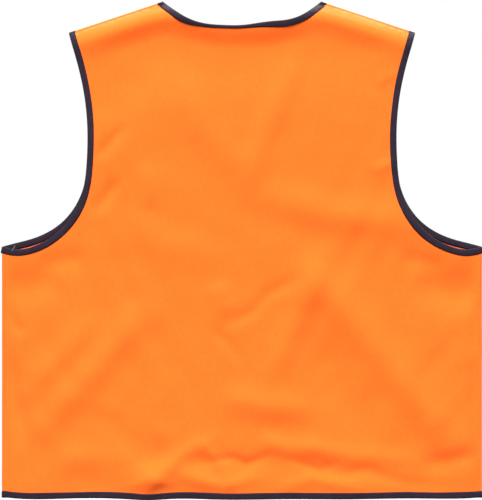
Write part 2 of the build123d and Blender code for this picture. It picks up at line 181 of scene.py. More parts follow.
# ---- Depth of the hanging shell ----
def shoulder_height(x):
    past = np.abs(x) - NECK_HALF
    return -SHOULDER_SLOPE * (past + np.hypot(past, SHOULDER_ROUNDING)) / 2


def fold_x(z):
    """Where the front's fold line is at height z, from the neck point to the hem corner."""
    return NECK_HALF + (HALF_WIDTH - NECK_HALF) * -z / HEIGHT


def back_shape(x, z):
    below = shoulder_height(x) - z
    roll = np.clip(below / BACK_ROLL, 0, 1)
    return SEAM_BACK + BACK_BULGE * (1 - (x / HALF_WIDTH) ** 2) * (1 - (1 - roll) ** 2) + CLOTH_MIDDLE


def front_shape(x, z):
    x = np.maximum(np.abs(x), PLACKET)
    slant = np.clip((fold_x(z) - x) / (fold_x(z) - PLACKET), 0, 1)
    return SEAM_FRONT + (PLACKET_Y - SEAM_FRONT) * slant - CLOTH_MIDDLE


# ---- Creases: each is a line in plan, in mm, with a height and a half-width in mm ----
BACK_CREASES = [
    (((84, -112), (56, -176), (-8, -234)), 2.6, 17),
    (((-72, -84), (-42, -156), (-16, -232)), 3.6, 13),
    (((-44, -272), (-120, -291), (-216, -304)), 5.3, 17),
    (((166, -176), (194, -210)), -2.6, 6),
    (((174, -250), (198, -284)), -2.8, 6),
    (((131, -232), (128, -276)), 2.2, 10),
    (((-207, -98), (-188, -112)), 1.3, 5),
    (((-206, -220), (-182, -232)), 1.5, 5),
    (((214, -446), (284, -528)), 3.6, 13),
    (((143, -434), (205, -508), (262, -572)), 5.2, 15),
    (((324, -386), (292, -394), (262, -380)), -4.6, 17),
    (((272, -360), (226, -352)), -2.2, 9),
    (((-324, -388), (-288, -398), (-250, -386)), -5.8, 19),
    (((-272, -360), (-226, -352)), -2.2, 9),
    (((-98, -374), (-190, -484), (-296, -610)), 6.6, 19),
    (((-98, -376), (-76, -436), (-42, -514)), 4.8, 14),
    (((-96, -470), (-134, -530), (-170, -590)), -3.2, 20),
    (((12, -440), (-16, -424), (-34, -402), (-68, -384)), -1.9, 6),
    (((34, -392), (20, -424)), 2.5, 11),
    (((36, -454), (18, -468), (4, -490)), -1.8, 6),
    (((16, -548), (-34, -552), (-84, -562)), 5.0, 14),
    (((142, -656), (90, -640), (36, -664)), 3.2, 13),
    (((44, -630), (12, -625), (-6, -634), (-30, -624)), -2.4, 4.5),
    (((-66, -627), (-104, -642), (-128, -634)), -1.7, 5),
    (((-124, -648), (-170, -642), (-210, -656), (-258, -663)), -1.5, 6),
    (((-88, -610), (-150, -622), (-220, -628)), 2.4, 9),
    (((64, -652), (24, -664), (-20, -650)), 1.9, 6),
    (((150, -664), (128, -654), (96, -660)), 1.6, 5),
    (((-258, -634), (-326, -622)), -3.2, 9),
    (((-323, -505), (-326, -600)), -2.6, 7),
    (((320, -496), (302, -592)), -3.2, 8),
    (((325, -424), (304, -452)), -2.4, 6),
    (((327, -470), (320, -512)), -2.2, 5),
    (((-326, -424), (-318, -476)), -2.4, 6),
    (((128, -666), (88, -624), (54, -606)), 3.0, 8),
    (((52, -608), (26, -636), (14, -664)), 2.6, 7),
    (((-34, -600), (-62, -616), (-104, -612)), 2.8, 9),
    (((-60, -664), (-98, -652), (-150, -664)), 2.6, 7),
    (((118, -540), (110, -600)), 1.8, 9),
    (((128, -636), (124, -670)), 1.8, 7),
    (((180, -300), (110, -330), (40, -350)), 2.2, 18),
    (((250, -640), (200, -620), (160, -626)), 2.4, 13),
]
FRONT_CREASES = [
    (((150, -90), (100, -190), (44, -286)), 5.0, 16),
    (((176, -120), (168, -190), (128, -262)), 3.0, 13),
    (((200, -330), (124, -358), (46, -392)), 4.8, 17),
    (((206, -236), (164, -300)), -3.2, 8),
    (((214, -292), (178, -330), (150, -380)), 3.2, 11),
    (((320, -362), (262, -372), (222, -362)), -4.2, 13),
    (((306, -414), (262, -510), (236, -640)), 5.0, 16),
    (((316, -520), (290, -600), (262, -664)), 3.2, 11),
    (((230, -420), (222, -470), (226, -520)), -2.6, 8),
    (((60, -655), (130, -646), (222, -656)), 2.8, 8),
    (((72, -176), (52, -244)), 2.6, 10),
    (((52, -318), (90, -296), (130, -300)), -2.4, 8),
]


def crease_relief(creases, x, z):
    """Height of the creases above the smooth shape, in metres."""
    here = np.stack([np.asarray(x), np.asarray(z)], -1) / MM
    total = np.zeros(here.shape[:-1])
    for points, height, half_width in creases:
        points = np.array(points, float)
        run = np.concatenate([[0], np.cumsum(np.linalg.norm(np.diff(points, axis=0), axis=1))])
        nearest, share = np.full(total.shape, 1e9), np.zeros(total.shape)
        for n in range(len(points) - 1):
            along = points[n + 1] - points[n]
            t = ((here - points[n]) @ along) / (along @ along)
            t = np.clip(t, -0.4 if n == 0 else 0, 1.4 if n == len(points) - 2 else 1)
            gap = np.linalg.norm(here - points[n] - t[..., None] * along, axis=-1)
            share = np.where(gap < nearest, (run[n] + t * (run[n + 1] - run[n])) / run[-1], share)
            nearest = np.minimum(gap, nearest)
        fade = smoothstep(-0.35, 0.25, share) * (1 - smoothstep(0.75, 1.35, share))
        total += height * MM * fade * np.exp(-0.5 * (nearest / half_width) ** 2)
    return total


def soft_noise(x, z, size, seed):
    """Smooth noise from -1 to 1 over a length `size`."""
    flat = np.stack([np.ravel(x), np.ravel(z)], 1) / size
    values = [noise.noise(Vector((p[0], p[1], seed))) for p in flat]
    return np.array(values).reshape(np.shape(x))


def back_y(x, z):
    """Middle of the back's cloth, with its shoulder roll, its creases and small unevenness."""
    below = shoulder_height(x) - z
    edge = smoothstep(0, 0.016, below) * smoothstep(0, 0.020, HALF_WIDTH - np.abs(x))
    out_of_middle = smoothstep(0.02, 0.12, np.abs(x))
    hollow = 6.6 + 2.2 * out_of_middle - 5.0 * smoothstep(0.150, 0.235, np.abs(x))
    hollow = hollow * (1 - 0.3 * smoothstep(-0.05, -0.12, x))
    first = 0.008 + 0.026 * (1 - out_of_middle)
    last = first + 0.030 + 0.010 * out_of_middle
    roll = (1.8 - hollow * smoothstep(first, last, below)
            + (hollow - 1.0) * smoothstep(last + 0.004, last + 0.115, below))
    small = 1.3 * soft_noise(x, z, 0.085, 3.1) + 0.5 * soft_noise(x, z, 0.030, 7.7)
    return back_shape(x, z) + edge * (crease_relief(BACK_CREASES, x, z) + (roll + small) * MM)


def front_y(x, z, seed):
    """Middle of a front's cloth. It lies flat at the seams, along the zipper and under the pocket."""
    x = np.abs(x)
    below = shoulder_height(x) - z
    edge = smoothstep(0, 0.016, below) * smoothstep(0, 0.020, HALF_WIDTH - x)
    edge = edge * smoothstep(0.022, 0.045, x)
    pocket = smoothstep(0.02, 0.0, np.maximum(np.abs(x - 0.125) - 0.087, np.abs(z + 0.531) - 0.106))
    small = 1.2 * soft_noise(x, z, 0.080, seed) + 0.4 * soft_noise(x, z, 0.028, seed + 5)
    return front_shape(x, z) - edge * (1 - pocket) * (crease_relief(FRONT_CREASES, x, z) + small * MM)


def front_smooth(x, z, seed):
    """A front before any crease, with the unevenness that starts its puckers."""
    return front_shape(x, z) + 0.0012 * soft_noise(x, z, 0.05, seed)


# Distances between the points of the cloth and of its edges.
SIMULATED_SPACING = 0.0085
BACK_SPACING, BACK_EDGE_SPACING = 0.0048, 0.0045
FRONT_SPACING, FRONT_EDGE_SPACING = 0.0062, 0.0055
POCKET_SPACING, POCKET_EDGE_SPACING = 0.0036, 0.0035


class Sheet:
    """Cloth that stands over the plan: a depth for each plan point, and the side that faces outwards.

    smooth is its depth before any crease, from which it is simulated.
    """

    def __init__(self, depth, smooth, out):
        self.depth, self.smooth, self.out = depth, smooth, out
        self.tree, self.moves = None, None

    def place(self, plan, lift=0.0):
        """Points at `lift` outside the middle of the cloth, over plan points."""
        plan = np.asarray(plan, float)
        x, z = plan[..., 0], plan[..., 1]
        step = 0.0015
        y = self.depth(x, z)
        across = (self.depth(x + step, z) - self.depth(x - step, z)) / (2 * step)
        up = (self.depth(x, z + step) - self.depth(x, z - step)) / (2 * step)
        normal = np.stack([-across, np.ones_like(y), -up], -1) * self.out
        normal /= np.linalg.norm(normal, axis=-1, keepdims=True)
        point = np.stack([x, y, z], -1) + self.settled(plan)
        return point + normal * np.asarray(lift)[..., None]

    def settle(self, plan, moves):
        """Keeps how far simulation moved the cloth, so that what is sewn on it follows."""
        self.tree, self.moves = plan_tree(plan), moves

    def settled(self, plan):
        """How far simulation moved the cloth at plan points."""
        if self.tree is None:
            return 0.0
        flat = plan.reshape(-1, 2)
        found = np.zeros((len(flat), 3))
        for n, p in enumerate(flat):
            near = self.tree.find_n((p[0], p[1], 0), 14)
            gaps = np.array([gap for _, _, gap in near])
            weights = np.exp(-0.5 * (gaps / (0.7 * SIMULATED_SPACING)) ** 2) + 1e-9
            found[n] = weights @ self.moves[[k for _, k, _ in near]] / weights.sum()
        return found.reshape(plan.shape[:-1] + (3,))


BACK = Sheet(back_y, lambda x, z: back_shape(x, z) + 0.0012 * soft_noise(x, z, 0.05, 5.5), 1)
FRONTS = {
    "left": Sheet(lambda x, z: front_y(x, z, 11.0), lambda x, z: front_smooth(x, z, 11.0), -1),
    "right": Sheet(lambda x, z: front_y(x, z, 23.0), lambda x, z: front_smooth(x, z, 23.0), -1),
}


# ---- Materials ----
def new_material(name, color, roughness, sheen=0.0, metallic=0.0):
    """A Principled material with its node tree, its links and its shader."""
    material = bpy.data.materials.new(name)
    material.use_nodes = True
    nodes, links = material.node_tree.nodes, material.node_tree.links
    shader = nodes["Principled BSDF"]
    shader.inputs["Base Color"].default_value = (*color, 1)
    shader.inputs["Roughness"].default_value = roughness
    shader.inputs["Sheen Weight"].default_value = sheen
    shader.inputs["Sheen Roughness"].default_value = 0.6
    shader.inputs["Metallic"].default_value = metallic
    shader.inputs["Specular IOR Level"].default_value = 0.25
    return material, nodes, links, shader


def add_bump(nodes, links, shader, heights, depth, strength=1.0):
    """Adds up the given height sockets and bumps the surface with them."""
    total = heights[0]
    for other in heights[1:]:
        add = nodes.new("ShaderNodeMath")
        add.operation = "ADD"
        links.new(total, add.inputs[0])
        links.new(other, add.inputs[1])
        total = add.outputs[0]
    bump = nodes.new("ShaderNodeBump")
    bump.inputs["Distance"].default_value = depth
    bump.inputs["Strength"].default_value = strength
    links.new(total, bump.inputs["Height"])
    links.new(bump.outputs["Normal"], shader.inputs["Normal"])


def wave(nodes, links, coordinates, direction, scale, distortion=0.0):
    texture = nodes.new("ShaderNodeTexWave")
    texture.bands_direction = direction
    texture.inputs["Scale"].default_value = scale
    texture.inputs["Distortion"].default_value = distortion
    texture.inputs["Detail"].default_value = 1.0
    texture.inputs["Detail Scale"].default_value = 2.0
    links.new(coordinates, texture.inputs["Vector"])
    return texture.outputs["Fac"]


def soft_cloud(nodes, links, coordinates, scale, detail=2.0):
    texture = nodes.new("ShaderNodeTexNoise")
    texture.inputs["Scale"].default_value = scale
    texture.inputs["Detail"].default_value = detail
    links.new(coordinates, texture.inputs["Vector"])
    return texture.outputs["Fac"]


def two_tone(nodes, links, shader, factor, dark, light, low=0.3, high=0.7):
    """Base colour that runs from dark to light as the factor goes from low to high."""
    ramp = nodes.new("ShaderNodeValToRGB")
    ramp.color_ramp.elements[0].position, ramp.color_ramp.elements[1].position = low, high
    ramp.color_ramp.elements[0].color, ramp.color_ramp.elements[1].color = (*dark, 1), (*light, 1)
    links.new(factor, ramp.inputs["Fac"])
    links.new(ramp.outputs["Color"], shader.inputs["Base Color"])


def woven(name, dark, light, thread, roughness=0.9, sheen=0.04, depth=0.00003):
    """Plain-woven cloth with threads of the given pitch in metres, a little uneven in colour."""
    material, nodes, links, shader = new_material(name, light, roughness, sheen)
    place = nodes.new("ShaderNodeTexCoord").outputs["Object"]
    scale = 0.314 / thread
    across = wave(nodes, links, place, "X", scale, 0.6)
    upright = wave(nodes, links, place, "Z", scale, 0.6)
    add_bump(nodes, links, shader, [across, upright, soft_cloud(nodes, links, place, 900)], depth)
    two_tone(nodes, links, shader, soft_cloud(nodes, links, place, 240, 3.0), dark, light)
    return material


def ribbed(name, dark, light, pitch, depth=0.00009, roughness=0.85):
    """Ribbed tape: its ribs run across its width, and u is the length along it in metres."""
    material, nodes, links, shader = new_material(name, light, roughness, 0.04)
    shader.inputs["Sheen Tint"].default_value = (0.5, 0.4, 0.6, 1)
    place = nodes.new("ShaderNodeTexCoord").outputs["UV"]
    ribs = wave(nodes, links, place, "X", 0.314 / pitch, 0.4)
    twill = wave(nodes, links, place, "DIAGONAL", 0.314 / (pitch * 1.4), 0.3)
    add_bump(nodes, links, shader, [ribs, twill], depth)
    two_tone(nodes, links, shader, soft_cloud(nodes, links, place, 60, 3.0), dark, light)
    return material


def fuzzy(name, dark, light, scale, depth):
    """Hook or loop pile."""
    material, nodes, links, shader = new_material(name, light, 0.95, 0.4)
    place = nodes.new("ShaderNodeTexCoord").outputs["Object"]
    pile = soft_cloud(nodes, links, place, scale, 4.0)
    add_bump(nodes, links, shader, [pile], depth)
    two_tone(nodes, links, shader, pile, dark, light)
    return material


def moulded(name, dark, light, roughness, metallic=0.0):
    """Moulded plastic or painted metal with fine handling marks."""
    material, nodes, links, shader = new_material(name, light, roughness, 0.0, metallic)
    shader.inputs["Specular IOR Level"].default_value = 0.5
    place = nodes.new("ShaderNodeTexCoord").outputs["Object"]
    marks = soft_cloud(nodes, links, place, 420, 5.0)
    add_bump(nodes, links, shader, [marks], 0.00006)
    two_tone(nodes, links, shader, soft_cloud(nodes, links, place, 150, 3.0), dark, light)
    return material


ORANGE = woven("blaze_orange_cloth", (0.985, 0.136, 0.0075), (1.0, 0.150, 0.0095), 0.0006)
# Painted shade: the inside faces get the same orange, darker and pinker, for the shadow inside the shell.
ORANGE_INSIDE_PAINTED_SHADE = woven("blaze_orange_cloth_inside_painted_shade", (0.90, 0.150, 0.050), (0.94, 0.170, 0.062), 0.0006)
BINDING_TAPE = ribbed("navy_binding", (0.010, 0.005, 0.012), (0.018, 0.009, 0.021), 0.0011)
ZIPPER_TAPE = ribbed("zipper_tape_weave", (0.014, 0.012, 0.018), (0.024, 0.020, 0.030), 0.0009)
DARK_THREAD = ribbed("dark_thread", (0.012, 0.009, 0.018), (0.030, 0.022, 0.040), 0.0005, 0.0001)
ORANGE_THREAD = ribbed("orange_thread", (0.90, 0.112, 0.008), (0.98, 0.150, 0.016), 0.0005, 0.0001)
WHITE_THREAD = ribbed("white_thread", (0.74, 0.72, 0.70), (0.84, 0.82, 0.80), 0.0005, 0.0001)
TACK_THREAD = ribbed("tack_thread", (0.26, 0.21, 0.26), (0.36, 0.30, 0.36), 0.0005, 0.0001)
HOOKS = fuzzy("hook_pile", (0.012, 0.010, 0.014), (0.035, 0.030, 0.040), 1500, 0.0006)
LOOPS = fuzzy("loop_pile", (0.018, 0.014, 0.020), (0.055, 0.046, 0.060), 900, 0.0007)
LABEL = woven("label_satin", (0.62, 0.61, 0.59), (0.70, 0.69, 0.67), 0.0004, 0.5, 0.05, 0.00008)
TEETH = moulded("zipper_teeth_plastic", (0.012, 0.012, 0.014), (0.026, 0.026, 0.030), 0.32)
SLIDER = moulded("painted_slider", (0.020, 0.020, 0.024), (0.040, 0.040, 0.046), 0.30, 0.5)


# ---- Meshes ----
def new_object(name, vertices, faces, materials, uv=None, smooth=True):
    """A mesh object. uv gives each vertex's texture coordinates."""
    mesh = bpy.data.meshes.new(name)
    mesh.from_pydata([tuple(v) for v in vertices], [], [tuple(int(i) for i in f) for f in faces])
    for material in materials:
        mesh.materials.append(material)
    if uv is not None:
        layer = mesh.uv_layers.new(name="UVMap")
        corners = np.zeros(len(mesh.loops), np.int32)
        mesh.loops.foreach_get("vertex_index", corners)
        layer.data.foreach_set("uv", np.asarray(uv, np.float32)[corners].ravel())
    mesh.polygons.foreach_set("use_smooth", [smooth] * len(mesh.polygons))
    mesh.update()
    thing = bpy.data.objects.new(name, mesh)
    bpy.context.scene.collection.objects.link(thing)
    return thing


def apply_modifiers(thing):
    graph = bpy.context.evaluated_depsgraph_get()
    mesh = bpy.data.meshes.new_from_object(thing.evaluated_get(graph))
    thing.modifiers.clear()
    thing.data = mesh


def give_thickness(thing, thickness=CLOTH):
    solid = thing.modifiers.new("thickness", "SOLIDIFY")
    solid.thickness, solid.offset = thickness, 0
    # The inner face takes the second material; on the cloth that is the inside orange with painted shade.
    solid.material_offset = 1
    solid.use_even_offset = True
    apply_modifiers(thing)
    return thing


def fill_outline(outline, spacing):
    """Triangulates a closed plan outline with an even grid of points inside it: (points, triangles)."""
    outline = np.asarray(outline, float)
    low, high = outline.min(0), outline.max(0)
    row = spacing * math.sqrt(0.75)
    grid = [(low[0] + (i + 0.5 * (j % 2)) * spacing, low[1] + j * row)
            for j in range(int((high[1] - low[1]) / row) + 2)
            for i in range(int((high[0] - low[0]) / spacing) + 2)]
    grid = np.array(grid)
    inside = np.zeros(len(grid), bool)
    for a, b in zip(outline, np.roll(outline, -1, axis=0)):
        crosses = (a[1] > grid[:, 1]) != (b[1] > grid[:, 1])
        with np.errstate(divide="ignore", invalid="ignore"):
            inside ^= crosses & (grid[:, 0] < a[0] + (grid[:, 1] - a[1]) * (b[0] - a[0]) / (b[1] - a[1]))
    grid = grid[inside]
    tree = plan_tree(outline)
    clear = [tree.find((p[0], p[1], 0))[2] > 0.6 * spacing for p in grid]
    points = np.concatenate([outline, grid[np.array(clear)]])
    edges = [(n, (n + 1) % len(outline)) for n in range(len(outline))]
    made = delaunay_2d_cdt([Vector(p) for p in points], edges, [], 1, 1e-7)
    return np.array([(v.x, v.y) for v in made[0]]), made[2]


PINNED_EDGE, LARGEST_MOVE, BROAD_RADIUS = 0.009, 0.006, 0.038
BROAD_REMOVED, KEPT = 0.95, 0.65


def let_settle(sheet, outline, held_down, slack, hem_slack, frames):
    """Simulates the sheet as cloth a little longer than the space between its seams, so that it puckers.

    held_down(plan) tells which points are sewn or stiff, as well as the whole edge. The slack is larger by
    the hem, where the binding draws the cloth in. The sheet keeps only the fine part of the moves, KEPT of
    it, because the broad folds are the creases'.
    """
    plan, faces = fill_outline(outline, SIMULATED_SPACING)
    start = Sheet(sheet.smooth, None, sheet.out).place(plan)
    thing = new_object("settling", start, faces, [])
    tree = plan_tree(outline)
    pins = thing.vertex_groups.new(name="pins")
    held = held_down(plan)
    for n, p in enumerate(plan):
        if held[n] or tree.find((p[0], p[1], 0))[2] < PINNED_EDGE:
            pins.add([n], 1.0, "REPLACE")
    gathered = thing.vertex_groups.new(name="gathered")
    near_hem = smoothstep(-HEIGHT + 0.110, -HEIGHT + 0.030, plan[:, 1])
    for n, weight in enumerate(near_hem):
        gathered.add([n], float(weight), "REPLACE")
    cloth = thing.modifiers.new("cloth", "CLOTH")
    settings = cloth.settings
    settings.quality, settings.time_scale, settings.mass = 6, 1.0, 0.12
    settings.tension_stiffness = settings.compression_stiffness = 22
    settings.shear_stiffness, settings.bending_stiffness = 9, 0.35
    settings.air_damping = 3
    settings.vertex_group_mass = "pins"
    settings.vertex_group_shrink = "gathered"
    settings.shrink_min, settings.shrink_max = -slack, -hem_slack
    settings.effector_weights.gravity = 0.10
    cloth.collision_settings.use_collision = False
    cloth.collision_settings.use_self_collision = False
    scene = bpy.context.scene
    scene.frame_start, scene.frame_end = 1, frames
    cloth.point_cache.frame_start, cloth.point_cache.frame_end = 1, frames
    for frame_number in range(1, frames + 1):
        scene.frame_set(frame_number)
    settled = thing.evaluated_get(bpy.context.evaluated_depsgraph_get()).to_mesh()
    end = np.zeros(len(plan) * 3)
    settled.vertices.foreach_get("co", end)
    bpy.data.objects.remove(thing)
    scene.frame_set(1)
    moves = end.reshape(-1, 3) - start
    size = np.linalg.norm(moves, axis=1, keepdims=True)
    moves *= np.minimum(1, LARGEST_MOVE / np.maximum(size, 1e-9))
    around = plan_tree(plan)
    near = [[k for _, k, _ in around.find_range((p[0], p[1], 0), BROAD_RADIUS)] for p in plan]
    broad = np.array([moves[found].mean(0) for found in near])
    edge_gap = np.array([tree.find((p[0], p[1], 0))[2] for p in plan])
    fine = moves - BROAD_REMOVED * broad
    sheet.settle(plan, KEPT * fine * smoothstep(0.006, 0.022, edge_gap)[:, None])


def lay_cloth(name, outline, sheet, spacing, materials):
    """Cloth over a plan outline, facing the sheet's outer side."""
    plan, faces = fill_outline(outline, spacing)
    if sheet.out > 0:
        faces = [f[::-1] for f in faces]
    return new_object(name, sheet.place(plan), faces, materials, uv=plan)


def sweep(name, rings, materials, along=None, closed=True):
    """A tube or strip through rings of points (stations, ring points, 3); u is the length along it."""
    rings = np.asarray(rings, float)
    stations, count = rings.shape[:2]
    if along is None:
        middle = rings.mean(1)
        along = np.concatenate([[0], np.cumsum(np.linalg.norm(np.diff(middle, axis=0), axis=1))])
    around = np.concatenate([[0], np.cumsum(np.linalg.norm(np.diff(rings[0], axis=0), axis=1))])
    uv = np.stack(np.meshgrid(along, around, indexing="ij"), -1).reshape(-1, 2)
    faces = []
    for i in range(stations - 1):
        for j in range(count if closed else count - 1):
            k = (j + 1) % count
            faces.append((i * count + j, i * count + k, (i + 1) * count + k, (i + 1) * count + j))
    if closed:
        faces.append(tuple(range(count))[::-1])
        faces.append(tuple((stations - 1) * count + j for j in range(count)))
    return new_object(name, rings.reshape(-1, 3), faces, materials, uv)


def mirrored(plan, sign):
    return np.asarray(plan) * (sign, 1)


def edge_frame(path, s, sign):
    """Plan points and outward vectors at lengths s, mirrored for the right side."""
    return mirrored(path.at(s), sign), mirrored(path.outward(s), sign)


BINDING_PROFILE = [(8.4, 0.45), (8.3, 0.95), (6.0, 1.15), (3.0, 1.20), (0.6, 1.05), (-0.35, 0.65),
                   (-0.65, 0.0), (-0.35, -0.65), (0.6, -1.05), (3.0, -1.20), (6.0, -1.15), (8.3, -0.95),
                   (8.4, -0.45)]


def fold_binding(name, sheet, path, sign=1, first=0.0, last=1.0, seed=0, turned=None):
    """A tape folded over an edge of a sheet, a little uneven in width as sewn tape is.

    turned(plan) is how far the tape is turned over to the inside, from 0 to 1.
    """
    s = path.stations(0.004, first, last)
    edge, out = edge_frame(path, s, sign)
    profile = np.array(BINDING_PROFILE) * MM
    wobble = noise_along(s, 28, seed, 0.5)
    width = profile[:, 0][None, :] * (1 + 0.055 * wobble[:, None])
    plump = profile[:, 1][None, :] * (1 + 0.18 * np.roll(wobble, 7)[:, None])
    if turned:
        over = turned(edge)[:, None]
        width = width * np.where(profile[:, 1] > 0.0001, 1 - over, 1 + 0.6 * over)
    plan = edge[:, None, :] - width[..., None] * out[:, None, :]
    rings = sheet.place(plan, plump)
    if sheet.out * sign < 0:
        rings = rings[:, ::-1]
    return sweep(name, rings, [BINDING_TAPE], along=s)


STITCH_LENGTH, STITCH_PITCH, STITCH_RADIUS = 0.0023, 0.0030, 0.00024


def stitches(name, starts, ends, normals, material, radius=STITCH_RADIUS):
    """Short threads from starts to ends, each an arched six-sided spindle."""
    starts, ends, normals = (np.asarray(v, float) for v in (starts, ends, normals))
    vertices, faces, uv = [], [], []
    shares = [(0.0, 0.35), (0.2, 0.95), (0.5, 1.1), (0.8, 0.95), (1.0, 0.35)]
    for start, end, normal in zip(starts, ends, normals):
        run = end - start
        side = np.cross(run, normal)
        side /= np.linalg.norm(side) + 1e-12
        base = len(vertices)
        for share, thick in shares:
            middle = start + run * share + normal * radius * (1.6 * math.sin(math.pi * share) - 0.3)
            for k in range(6):
                turn = math.pi * k / 3
                vertices.append(middle + radius * thick * (side * math.cos(turn) + normal * math.sin(turn)))
                uv.append((share * STITCH_LENGTH, k * 0.0002))
        for i in range(len(shares) - 1):
            for k in range(6):
                m = (k + 1) % 6
                faces.append((base + i * 6 + k, base + i * 6 + m, base + i * 6 + 6 + m, base + i * 6 + 6 + k))
        faces.append(tuple(base + k for k in range(6))[::-1])
        faces.append(tuple(base + 24 + k for k in range(6)))
    return new_object(name, vertices, faces, [material], uv)


def stitch_row(name, sheet, path, inset, lift, material, sign=1, first=0.0, last=1.0, both=False):
    """A row of stitches at a distance inside an edge, on the outer face or on both faces."""
    s = path.stations(STITCH_PITCH, first, last)[:-1]
    starts, ends, normals = [], [], []
    for face in (1, -1) if both else (1,):
        points = []
        for shift in (0.0, STITCH_LENGTH):
            edge, out = edge_frame(path, s + shift, sign)
            points.append(edge - inset * out)
        low = [sheet.place(p, face * lift) for p in points]
        high = sheet.place(points[0], face * (lift + 0.001))
        starts.append(low[0])
        ends.append(low[1])
        normals.append((high - low[0]) / 0.001)
    return stitches(name, *(np.concatenate(v) for v in (starts, ends, normals)), material)


SEAM_PROFILE = [(-4.4, -3.0), (-4.7, -0.6), (-4.2, 0.8), (-2.9, 1.4), (-1.9, 1.1), (-1.2, 0.5), (-0.5, 1.1),
                (0.6, 1.4), (1.7, 0.8), (2.3, -0.6), (2.1, -3.0), (0.9, -3.2), (-1.2, -0.9), (-3.4, -3.2)]


def roll_seam(name, path, sign, first, last, set_in=0.0, material=None, larger=0.0):
    """What joins a front to the back along an edge: the turned seam, with the groove of its stitching.

    A larger one in binding tape wraps the seam's end, where the binding crosses it.
    """
    s = np.linspace(first, last, max(2, int(round(abs(last - first) / 0.003)) + 1))
    edge, out = edge_frame(path, s, sign)
    wave_in = noise_along(s, 11, 2 + sign, 4)
    edge = edge - (set_in * (1 + 0.9 * wave_in))[:, None] * out
    profile = (np.array(SEAM_PROFILE) * MM - (-0.0012, 0)) * (1 + larger) + (-0.0012, 0.35 * larger * 0.003)
    pucker = 1 + 0.16 * np.sin(s * 2 * math.pi / 0.0075) * noise_along(s, 40, 3, 1)
    plan = edge[:, None, :] + (profile[:, 1][None, :] * pucker[:, None])[..., None] * out[:, None, :]
    depth = np.broadcast_to(profile[:, 0], plan.shape[:2])
    rings = np.stack([plan[..., 0], depth, plan[..., 1]], -1)
    if sign > 0:
        rings = rings[:, ::-1]
    return sweep(name, rings, [material or ORANGE], along=s)


def join_outline(*parts):
    """One closed outline from runs of plan points that share their ends."""
    return np.concatenate([np.asarray(p)[:-1] for p in parts])


# ---- Back ----
def sample(path, spacing):
    return path.at(path.stations(spacing))


right_half = [sample(path, BACK_EDGE_SPACING) for path in (SHOULDER, BACK_ARMHOLE, SIDE)]
back_outline = join_outline(
    sample(BACK_NECK, BACK_EDGE_SPACING), *right_half, sample(BACK_HEM, BACK_EDGE_SPACING),
    *[mirrored(run[::-1], -1) for run in right_half[::-1]])


def back_held_down(plan):
    """The cloth that rolls over the shoulders."""
    return shoulder_height(plan[:, 0]) - plan[:, 1] < 0.030


let_settle(BACK, back_outline, back_held_down, 0.0012, 0.009, 26)
back_cloth = lay_cloth("back_cloth", back_outline, BACK, BACK_SPACING, [ORANGE, ORANGE_INSIDE_PAINTED_SHADE])
give_thickness(back_cloth)
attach(back_cloth, "shell")
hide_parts("back_panel")


def finish_edge(name, sheet, path, sign, node, seed, turned=None):
    """Binding over an edge, and the rows of stitches that hold it."""
    tape = fold_binding(name, sheet, path, sign, seed=seed, turned=turned)
    if node:
        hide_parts(node)
    inset = 0.0066
    if turned:
        s = path.stations(STITCH_PITCH, 0.006, 0.994)[:-1]
        inset = inset * (1 - turned(path.at(s)))[:, None]
    thread = stitch_row(name + "_stitching", sheet, path, inset, 0.00118, DARK_THREAD, sign,
                        0.006, 0.994, both=True)
    return [tape, thread]


def neck_turn(plan):
    """The back neck's tape rolls over to the inside between the shoulders."""
    x = plan[..., 0]
    return 0.58 * smoothstep(-0.062, -0.002, x) * smoothstep(0.084, 0.046, x)


back_trim = finish_edge("back_neck_tape", BACK, BACK_NECK, 1, "back_neck_binding", 1, neck_turn)
back_trim += finish_edge("back_hem_tape", BACK, BACK_HEM, 1, "back_hem_binding", 2)
for side, sign in SIDES.items():
    back_trim += finish_edge(f"{side}_back_armhole_tape", BACK, BACK_ARMHOLE, sign,
                             f"{side}_armhole_binding", 3 + sign)
tack_ends = BACK.place([(0.3165, -0.3432), (0.3112, -0.3338)], 0.0014)
tack = stitches("left_underarm_tack", tack_ends[:1], tack_ends[1:], [(0, 1, 0)], TACK_THREAD, 0.00034)
back_trim.append(tack)
for piece in back_trim:
    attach(piece, "shell")

# ---- Fronts: each is one piece of cloth, from the side seam to the zipper ----
front_outline = join_outline(*[
    sample(path, FRONT_EDGE_SPACING)
    for path in (FRONT_NECK, SHOULDER, FRONT_ARMHOLE, SIDE, FRONT_HEM, PLACKET_LINE)])


def front_held_down(plan):
    """The placket, and the cloth behind the pocket and its flap."""
    x, z = np.abs(plan[:, 0]), plan[:, 1]
    return (x < 0.030) | ((np.abs(x - 0.125) < 0.090) & (z < -0.422) & (z > -0.635))


def fold_with_front(piece):
    """Bakes a piece's transform into its mesh."""
    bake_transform(piece)


